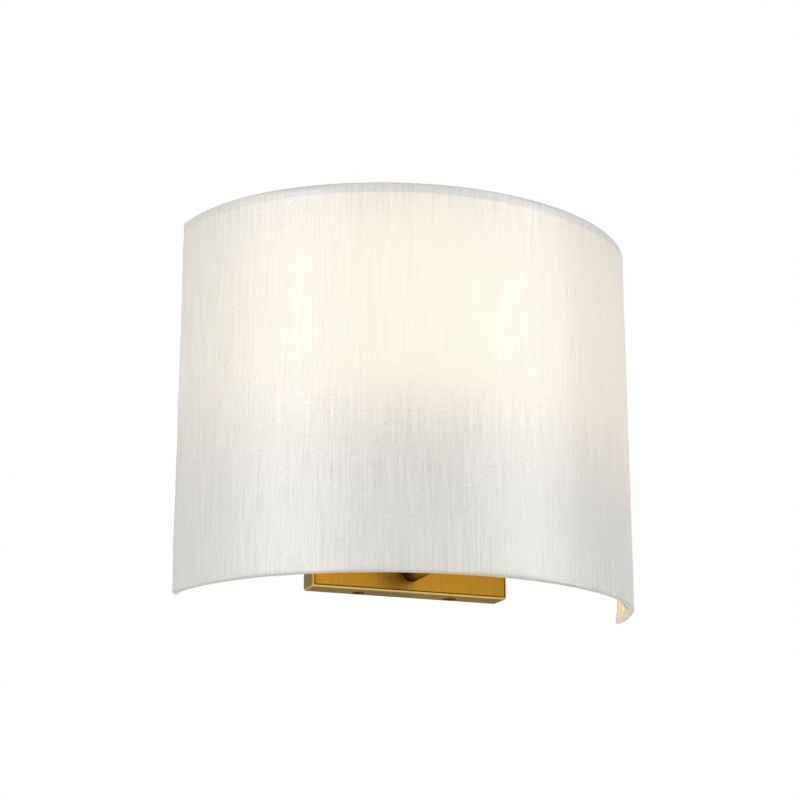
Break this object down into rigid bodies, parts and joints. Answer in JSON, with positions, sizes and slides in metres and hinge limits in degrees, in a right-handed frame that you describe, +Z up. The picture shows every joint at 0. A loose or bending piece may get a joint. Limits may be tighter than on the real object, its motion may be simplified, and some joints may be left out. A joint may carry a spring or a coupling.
{
  "type": "fabric shade wall light",
  "caption": "Wall light with a half-round fabric shade on a brass box backplate and arm, lit by a screw-in lamp inside the open-ended shade.",
  "frame": {"origin": "centre of the backplate's footprint, on the wall", "axes": "+X to the right seen from the room, +Y into the wall, +Z up"},
  "size_m": [0.2996, 0.128, 0.235],
  "materials": {
    "antique_brass": "brushed antique brass with a clear lacquer",
    "zinc_steel": "bright zinc plate",
    "bare_brass": "plain turned or stamped brass",
    "shade_fabric": "ivory slubbed cloth with upright ribs",
    "shade_lining": "smooth white laminate",
    "wire_white": "white stove enamel",
    "holder_plastic": "black moulded thermoset",
    "ceramic_core": "glazed steatite",
    "block_plastic": "translucent white polyamide",
    "bush_rubber": "black moulded rubber",
    "lead_brown": "brown insulation",
    "lead_blue": "blue insulation",
    "lead_green": "green and yellow insulation",
    "lamp_cap": "bright nickel-plated shell",
    "lamp_insulator": "black insulator",
    "lamp_housing": "white moulded housing",
    "lamp_opal": "opal diffuser, lit",
    "light_board": "white coated metal board",
    "light_chip": "yellow phosphor",
    "driver_board": "green circuit board"
  },
  "bodies": {
    "root": {"backplate": "antique_brass", "cover_screws": "antique_brass", "arm_tube": "antique_brass", "wall_bracket": "zinc_steel", "arm_nut": "zinc_steel", "arm_washer": "zinc_steel", "wall_nipple": "zinc_steel", "holder_nipple": "zinc_steel", "grub_screw": "zinc_steel", "earth_screw": "zinc_steel", "earth_tag": "bare_brass", "block_screw": "zinc_steel", "cable_bush": "bush_rubber", "holder_cap": "holder_plastic", "holder_skirt": "holder_plastic", "holder_core": "ceramic_core", "thread_liner": "bare_brass", "centre_contact": "bare_brass", "side_contact": "bare_brass", "lead_screws": "bare_brass", "terminal_block": "block_plastic", "terminal_clamps": "bare_brass", "terminal_screws": "zinc_steel", "live_lead": "lead_brown", "neutral_lead": "lead_blue", "earth_lead": "lead_green"},
    "shade": {"fitter_ring": "wire_white", "spider_arm_front": "wire_white", "spider_arm_left": "wire_white", "spider_arm_right": "wire_white", "top_ring": "wire_white", "bottom_ring": "wire_white", "back_strut_left": "wire_white", "back_strut_right": "wire_white", "shade_lining": "shade_lining", "shade_fabric": "shade_fabric"},
    "shade_ring": {"shade_ring": "holder_plastic"},
    "bulb_tip": {"bulb_tip": "bare_brass"},
    "bulb": {"bulb_insulator": "lamp_insulator", "bulb_cap": "lamp_cap", "bulb_housing": "lamp_housing", "light_board": "light_board", "light_chips": "light_chip", "driver_board": "driver_board", "bulb_diffuser": "lamp_opal"}
  },
  "joints": [
    {"name": "shade_swivel", "type": "hinge", "parent": "root", "child": "shade", "pos_m": [0, -0.058, 0], "axis": [0, 0, 1], "range_deg": [-3, 3]},
    {"name": "shade_ring_turn", "type": "hinge", "parent": "root", "child": "shade_ring", "pos_m": [0, -0.058, 0], "axis": [0, 0, 1], "range_deg": [0, 360]},
    {"name": "bulb_rise", "type": "slide", "parent": "root", "child": "bulb_tip", "axis": [0, 0, 1], "range_m": [0, 0.011]},
    {"name": "bulb_turn", "type": "hinge", "parent": "bulb_tip", "child": "bulb", "pos_m": [0, -0.058, 0], "axis": [0, 0, 1], "range_deg": [0, 1080]}
  ],
  "couplings": [
    {"joint": "bulb_rise", "follows": "bulb_turn", "m_per_rad": 0.0005775}
  ]
}
